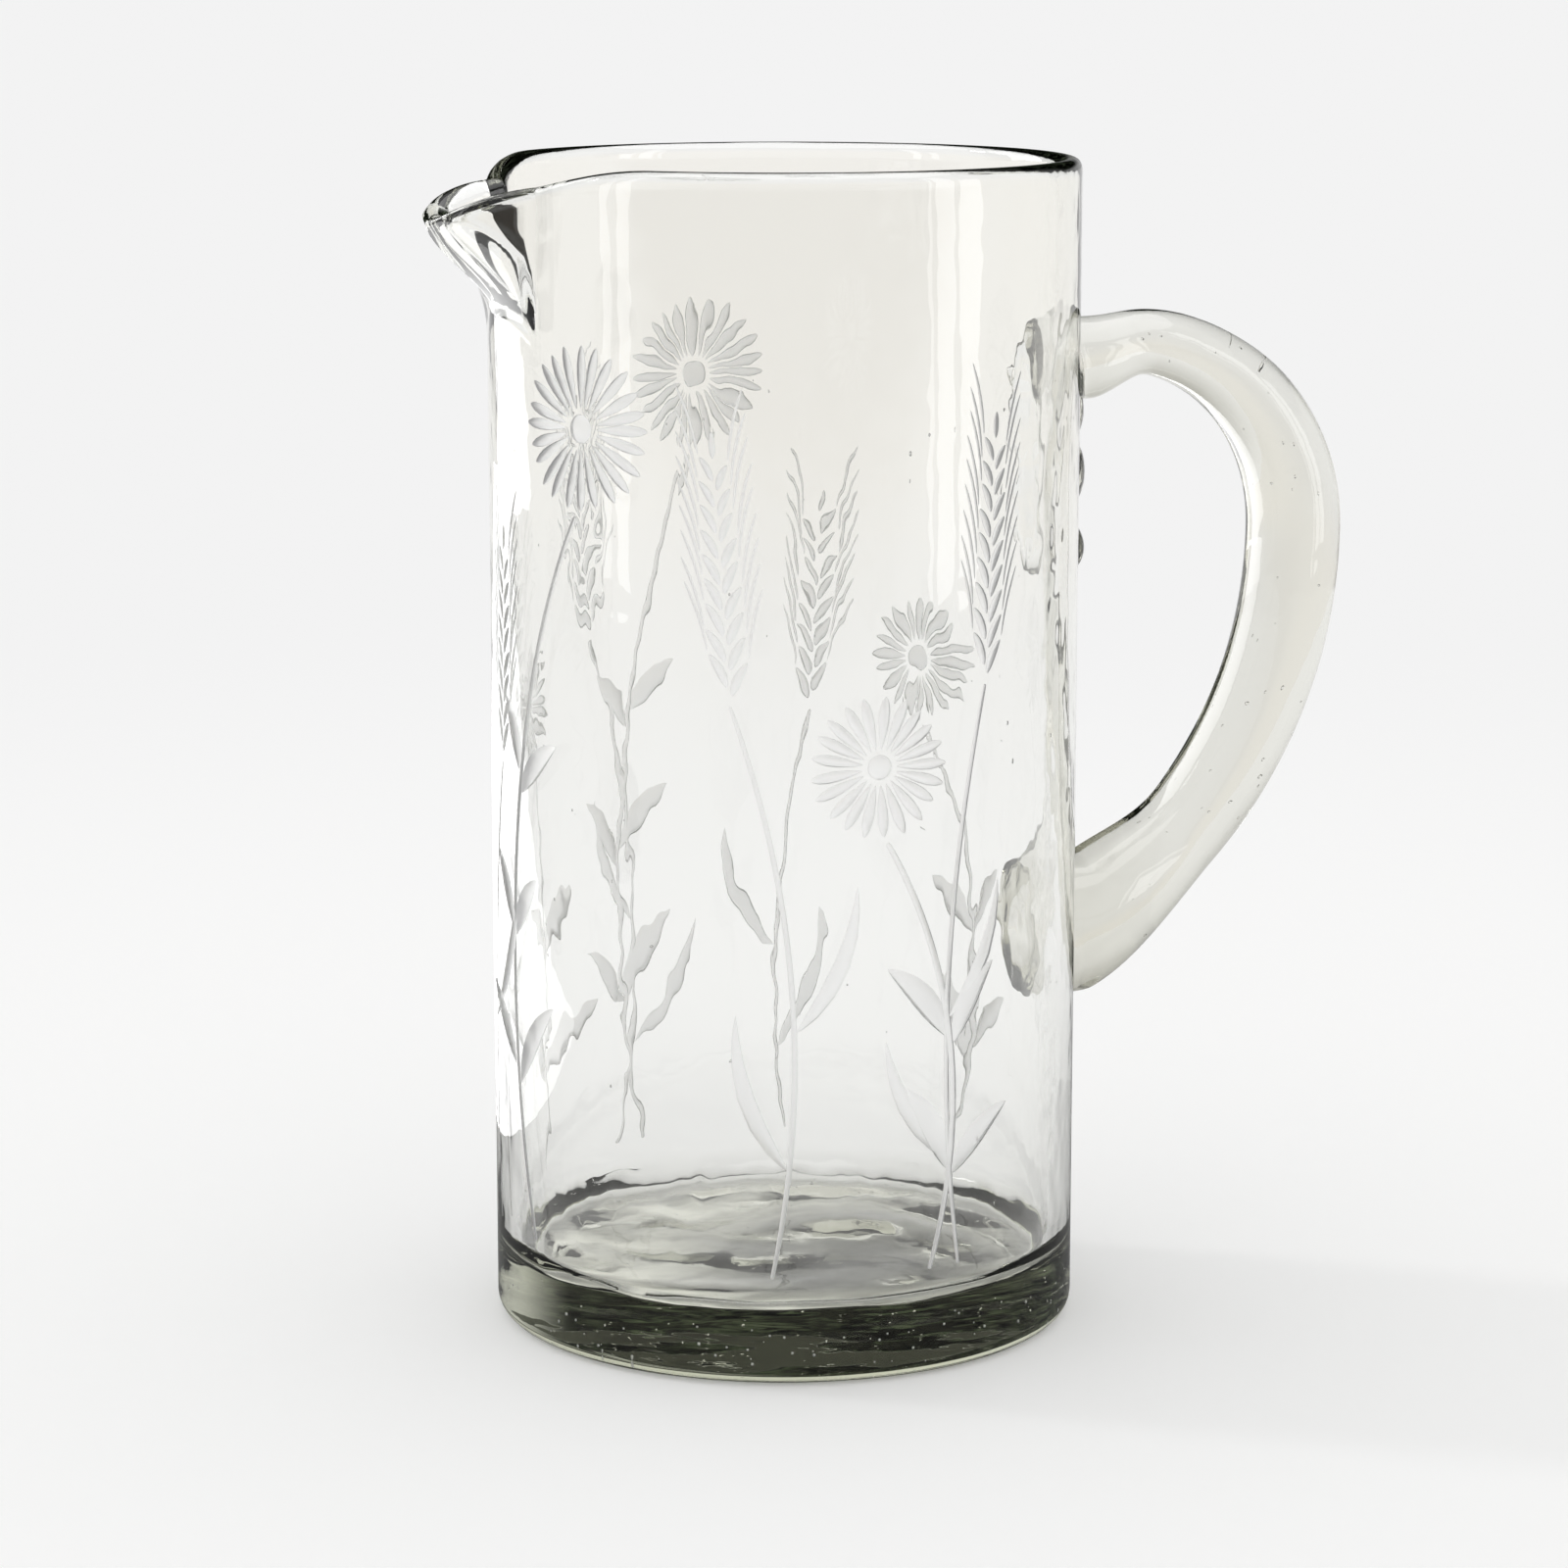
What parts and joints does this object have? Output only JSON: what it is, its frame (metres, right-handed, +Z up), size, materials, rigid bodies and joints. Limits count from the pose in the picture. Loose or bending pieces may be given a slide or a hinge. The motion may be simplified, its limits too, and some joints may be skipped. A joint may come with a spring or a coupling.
{
  "type": "cocktail pitcher",
  "caption": "Tall straight glass pitcher on a thick solid base, with a pinched pouring spout at the rim and an applied loop handle opposite, for mixing and pouring drinks.",
  "frame": {"origin": "centre of the flat underside of the base, on the axis of the body", "axes": "+Z up along the body's axis, +X towards the handle, -X towards the spout"},
  "size_m": [0.1803, 0.108, 0.215],
  "materials": {
    "body_glass": "clear hand-blown soda-lime glass, fire-polished, with satin wheel-cut decoration on the outside",
    "base_glass": "the same glass in a thick mass, which shows its grey-green tint",
    "handle_glass": "clear hot-worked glass rod with a faint warm grey tint and small seeds"
  },
  "bodies": {
    "root": {"base": "base_glass", "barrel": "body_glass", "rim": "body_glass", "spout": "body_glass", "handle": "handle_glass", "upper_weld": "handle_glass", "lower_weld": "handle_glass"}
  },
  "joints": []
}
